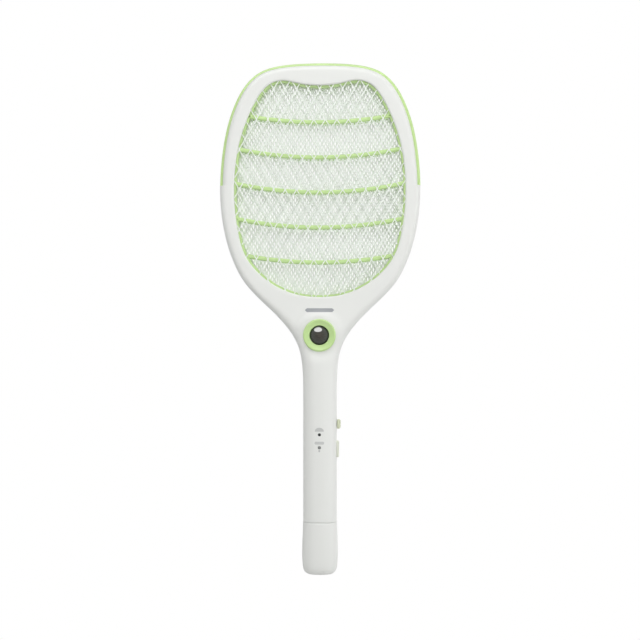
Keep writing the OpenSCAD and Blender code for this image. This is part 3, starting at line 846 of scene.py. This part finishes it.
def ink_patch(name, half, base, tops, rows=3, depth=grip_depth):
    """A thin patch of ink that follows the face; tops gives its height above base at each x."""
    columns = 16
    points = []
    for proud in (0.06, -0.2):
        for x in np.linspace(-half, half, columns + 1):
            low, high = tops(x / half)
            for t in np.linspace(0, 1, rows + 1):
                z = base + low + (high - low) * t
                points.append((x, -(depth(x, z) + proud), z))
    wide, layer = rows + 1, (columns + 1) * (rows + 1)
    faces = []
    for k in (0, 1):
        corners = [k * layer + c * wide + r for c in range(columns) for r in range(rows)]
        faces += [(i, i + wide, i + wide + 1, i + 1) for i in corners]
    rim = [c * wide for c in range(columns + 1)] + [columns * wide + r for r in range(1, rows + 1)]
    rim += [c * wide + rows for c in range(columns - 1, -1, -1)] + list(range(rows - 1, 0, -1))
    faces += [(rim[i], rim[(i + 1) % len(rim)], layer + rim[(i + 1) % len(rim)], layer + rim[i])
              for i in range(len(rim))]
    return piece_from(name, points, faces, degrees=40, merge=0.001)


def bar_ends(half_height, share):
    """A bar's lower and upper edge, with its ends rounded over a share of its half length."""
    def edges(t):
        past = max(abs(t) - (1 - share), 0) / share
        h = half_height * math.sqrt(max(1 - past * past, 0.02))
        return -h, h
    return edges


dark_ink = moulded("dark_ink", (0.345, 0.36, 0.375), roughness=0.5, mottle=0.15, grain=0.1)
pale_ink = moulded("pale_ink", (0.54, 0.55, 0.54), roughness=0.5, mottle=0.15, grain=0.1)
upper_mark = ink_patch("front_mark", 14.4, 264.3, bar_ends(1.9, 0.08),
                       depth=lambda x, z: float(face_depth(x, z, True)))
dress(upper_mark, dark_ink, "racket", "component_black")
grip_marks = joined("grip_marks", [
    ink_patch("half_disc", 4.6, 143.6, lambda t: (0.0, max(3.9 * math.sqrt(max(1 - t * t, 0)), 0.12))),
    ink_patch("label_bar", 4.8, 132.2, bar_ends(1.4, 0.2)),
    ink_patch("tick", 0.9, 124.4, bar_ends(1.2, 0.5))])
creased(grip_marks.data, 40)
dress(grip_marks, pale_ink, "racket", "switch_body")

# --- Indicator lights -----------------------------------------------------------------------
# Two round-ended light pipes from the board to the face of the grip, dark while unlit.
indicator_lens = moulded("indicator_lens", (0.060, 0.062, 0.060), roughness=0.12, mottle=0.2, grain=0.0,
                         rub=0.03, coat=0.6)
smoked_lens = moulded("smoked_lens", (0.26, 0.27, 0.26), roughness=0.18, mottle=0.2, grain=0.0,
                      rub=0.03, coat=0.6)
for name, node, z, material in (("upper_light", "upper_indicator", LIGHT_HEIGHTS[0], indicator_lens),
                                ("lower_light", "lower_indicator", LIGHT_HEIGHTS[1], smoked_lens)):
    pipe = [(0, 6.5), (2.1, 6.5), (2.1, 7.9), (1.45, 7.9), (1.45, 15.9)]
    pipe += [(1.45 * math.cos(a), 15.9 + 0.55 * math.sin(a)) for a in np.radians((20, 40, 60, 75, 90))]
    light = turned(name, pipe, (0, 0, z), steps=32, degrees=40)
    dress(light, material, "racket", "indicator_lens", node)

# --- Slide switch knob ----------------------------------------------------------------------
# Grey-green moulded knob with grip ridges, on a stem through the slot and a flange inside it.
knob_plastic = moulded("knob_plastic", (0.64, 0.68, 0.49), roughness=0.36, mottle=0.04)
knob_low = GRIP_HALF_WIDTH + 0.3


def ridge_tree():
    """Equal ridges stacked up the knob's face."""
    tree, new, link, enter, leave = geometry_tree("knob_ridges", (
        ("Ridge", "Object"), ("Count", "Int"), ("Pitch", "Vector"), ("Material", "Material")))
    line = new("GeometryNodeMeshLine")
    link(enter.outputs["Count"], line.inputs["Count"])
    link(enter.outputs["Pitch"], line.inputs["Offset"])
    ridge = new("GeometryNodeObjectInfo")
    link(enter.outputs["Ridge"], ridge.inputs["Object"])
    many = new("GeometryNodeInstanceOnPoints")
    link(line.outputs[0], many.inputs["Points"])
    link(ridge.outputs["Geometry"], many.inputs["Instance"])
    both = new("GeometryNodeJoinGeometry")
    link(enter.outputs["Geometry"], both.inputs[0])
    link(many.outputs[0], both.inputs[0])
    return end_tree(tree, both.outputs[0], enter, leave)


knob = joined("slide_knob", [
    block("knob", (knob_low, -4, SLIDE_Z - 4.7), (knob_low + 2.9, 4, SLIDE_Z + 4.7), 1.0, 4),
    block("stem", (12.3, -1.6, SLIDE_Z - 2), (knob_low + 0.6, 1.6, SLIDE_Z + 2), 0.3, 2),
    block("flange", (13.2, -3.4, SLIDE_Z - 6), (14.4, 3.4, SLIDE_Z + 6), 0.3, 2)])
RIDGE_COUNT, RIDGE_PITCH = 5, 1.55
lowest = SLIDE_Z - RIDGE_PITCH * (RIDGE_COUNT - 1) / 2
ridge = block("ridge", (knob_low + 2.4, -3.1, lowest - 0.45), (knob_low + 3.7, 3.1, lowest + 0.45),
              0.4, 3)
grown(knob, ridge_tree(), {"Ridge": ridge, "Count": RIDGE_COUNT, "Pitch": (0, 0, RIDGE_PITCH * MM),
                           "Material": knob_plastic})
bpy.data.meshes.remove(ridge.data)
creased(knob.data, 50)
dress(knob, knob_plastic, "slider", "lime_plastic", "power_slider")

# --- Push button ----------------------------------------------------------------------------
# Long pale button with a soft crown, pushed in with the thumb; its flange stops it falling out.
button_plastic = moulded("button_plastic", (0.73, 0.755, 0.65), roughness=0.36, mottle=0.04)
button = joined("push_button", [
    block("cap", (13.9, -4.2, BUTTON_Z - 8.3), (19.1, 4.2, BUTTON_Z + 8.3), 1.3, 4),
    block("flange", (12.9, -4.7, BUTTON_Z - 10.4), (14.2, 4.7, BUTTON_Z + 10.4), 0.3, 2)])
creased(button.data, 50)
dress(button, button_plastic, "button", "button_plastic", "zap_button")

# --- End cap --------------------------------------------------------------------------------
# White pull-off cap over the charging pins: one hollow moulding with a rounded floor, a little
# fuller than the grip, that closes against the casing at a fine seam.
CAP_OUTSIDE = ((0, 8.5, 8), (0.25, 10.6, 10.1), (0.8, 12.6, 12.1), (1.8, 14.3, 13.6), (3.2, 15.6, 14.8),
               (5.6, 16.7, 15.8), (10, 17.4, 16.4), (18, 17.9, 16.85), (30, 17.8, 16.85),
               (42, 17.3, 16.65), (50, 17.05, 16.5), (52.5, 17.0, 16.45), (52.7, 16.88, 16.33))
CAP_INSIDE = ((52.7, 15.1, 14.7), (52.2, 14.8, 14.5), (38, 14.8, 14.5), (6, 14, 13.6), (2.4, 11.5, 11))
turns = np.radians(np.arange(0, 360, 5))


def cap_section(z, half_width, half_depth):
    """A squared oval, as on the grip."""
    x, y = [half * np.sign(wave) * np.abs(wave) ** (2 / SQUARENESS)
            for half, wave in ((half_width, np.cos(turns)), (half_depth, np.sin(turns)))]
    return np.column_stack([x, y, np.full(len(turns), z)])


sections = [cap_section(*row) for row in (*CAP_OUTSIDE, *CAP_INSIDE)]
count = len(turns)
for z, near in ((0.0, sections[0]), (2.4, sections[-1])):
    for share in (0.55, 0.02):
        ring = near * (share, share, 0) + (0, 0, z)
        sections = [ring, *sections] if z == 0 and near is not sections[-1] else [*sections, ring]
faces = strips(len(sections), count, closed=True)
faces += [tuple(range(count)), tuple((len(sections) - 1) * count + i for i in range(count))]
cap = piece_from("grip_cap", np.vstack(sections), faces, degrees=40)
dress(cap, white_plastic, "cap", "white_plastic", "end_cap")

# --- Plug block and charging pins -----------------------------------------------------------
# Insulating block in the end of the casing with two flat brass pins, uncovered by the cap.
plug_plastic = moulded("plug_plastic", (0.66, 0.675, 0.655), roughness=0.5, mottle=0.05, grain=0.12)
rows = [cap_section(z, 14.4 - d, 14.1 - d) for z, d in ((42, 0.9), (42.25, 0.35), (42.9, 0), (56, 0))]
faces = strips(len(rows), count, closed=True)
faces += [tuple(range(count)), tuple(3 * count + i for i in range(count))]
socket_block = piece_from("socket_block", np.vstack(rows), faces, degrees=40)
dress(socket_block, plug_plastic, "racket", "plug_plastic", "plug_block")

brass = moulded("brass", (0.78, 0.60, 0.27), roughness=0.26, mottle=0.1, grain=0.08, rub=0.2,
                metallic=1.0)
PIN_X, PIN_THICK, PIN_WIDE = 6.35, 1.5, 6.3
pins = joined("blade_pins", [
    block("pin", (x - PIN_THICK / 2, -PIN_WIDE / 2, 24), (x + PIN_THICK / 2, PIN_WIDE / 2, 57.4), 0.45, 3)
    for x in (-PIN_X, PIN_X)])
creased(pins.data, 50)
dress(pins, brass, "racket", "brass", "charging_pins")

# --- Casing screws --------------------------------------------------------------------------
# Thirteen zinc-plated pan heads with cross recesses, driven from the rear into the front shell.


def screw_tree():
    """A screw on every point of the mesh, each turned its own way."""
    tree, new, link, enter, leave = geometry_tree("casing_screws", (
        ("Screw", "Object"), ("Seed", "Int"), ("Material", "Material")))
    screw = new("GeometryNodeObjectInfo")
    link(enter.outputs["Screw"], screw.inputs["Object"])
    turn = new("FunctionNodeRandomValue")
    turn.data_type = "FLOAT"
    floats = [s for s in turn.inputs if s.type == "VALUE"]
    floats[0].default_value, floats[1].default_value = 0.0, math.pi / 2
    link(enter.outputs["Seed"], turn.inputs["Seed"])
    spin = new("ShaderNodeCombineXYZ")
    link([s for s in turn.outputs if s.type == "VALUE"][0], spin.inputs["Y"])
    many = new("GeometryNodeInstanceOnPoints")
    link(enter.outputs["Geometry"], many.inputs["Points"])
    link(screw.outputs["Geometry"], many.inputs["Instance"])
    link(spin.outputs[0], many.inputs["Rotation"])
    return end_tree(tree, many.outputs[0], enter, leave)


screw_steel = moulded("screw_steel", (0.62, 0.63, 0.64), roughness=0.3, mottle=0.1, grain=0.1, rub=0.2,
                      metallic=1.0)
head = turned("screw", [(0, 8), (1.2, 8), (1.3, 7), (1.3, 0), (2.5, 0), (2.5, -0.7), (2.3, -1.1),
                        (1.8, -1.35), (1.0, -1.48), (0, -1.5)], (0, 0, 0), steps=28, degrees=40)
cut(head, block("slot", (-1.4, 0.7, -0.26), (1.4, 2.5, 0.26)))
cut(head, block("slot", (-0.26, 0.72, -1.4), (0.26, 2.52, 1.4)))
creased(head.data, 40)
seats = bpy.data.meshes.new("screws")
seats.from_pydata([(x * MM, seat * MM, z * MM) for x, z, seat in SCREWS], [], [])
screws = added("screws", seats)
grown(screws, screw_tree(), {"Screw": head, "Seed": 4, "Material": screw_steel})
bpy.data.meshes.remove(head.data)
creased(screws.data, 40)
dress(screws, screw_steel, "racket", "screw_steel", "casing_screws")

# --- Net spacers and the works inside -------------------------------------------------------
# These keep their CAD shapes: the insulating rings between the nets, and everything that the
# closed casing hides, from the torch to the charger's wires. Each kind gets its own finish.
INNER = (
    (("front_net_spacer", "rear_net_spacer"), "spacer_plastic", (0.66, 0.68, 0.62), 0.5, 0.0),
    (("lamp_reflector",), "reflector_metal", (0.80, 0.80, 0.81), 0.1, 1.0),
    (("lamp_board", "main_board"), "circuit_board", (0.03, 0.15, 0.07), 0.35, 0.0),
    (("lamp_led",), "led_resin", (0.85, 0.82, 0.55), 0.15, 0.0),
    (("lamp_leads", "battery_leads", "high_voltage_lead"), "red_wire", (0.45, 0.02, 0.02), 0.45, 0.0),
    (("charging_leads", "ground_leads"), "black_wire", (0.02, 0.02, 0.02), 0.45, 0.0),
    (("step_up_transformer",), "ferrite", (0.04, 0.04, 0.045), 0.6, 0.0),
    (("high_voltage_capacitor",), "capacitor_film", (0.36, 0.12, 0.02), 0.3, 0.0),
    (("smoothing_capacitor",), "capacitor_sleeve", (0.03, 0.04, 0.12), 0.3, 0.0),
    (("rectifier_diodes", "switching_transistor"), "component_black", (0.02, 0.02, 0.022), 0.5, 0.0),
    (("resistors",), "resistor_body", (0.42, 0.30, 0.15), 0.4, 0.0),
    (("slide_switch", "tactile_switch"), "switch_body", (0.08, 0.085, 0.1), 0.45, 0.0),
    (("battery_cell",), "cell_sleeve", (0.02, 0.14, 0.28), 0.25, 0.0),
    (("battery_tabs",), "nickel", (0.66, 0.64, 0.60), 0.3, 1.0))
for names, slot, color, roughness, metallic in INNER:
    finish = moulded(slot, color, roughness=roughness, mottle=0.12, grain=0.1, metallic=metallic)
    for name in names:
        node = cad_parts[name]
        for held in node.material_slots:
            held.material = finish
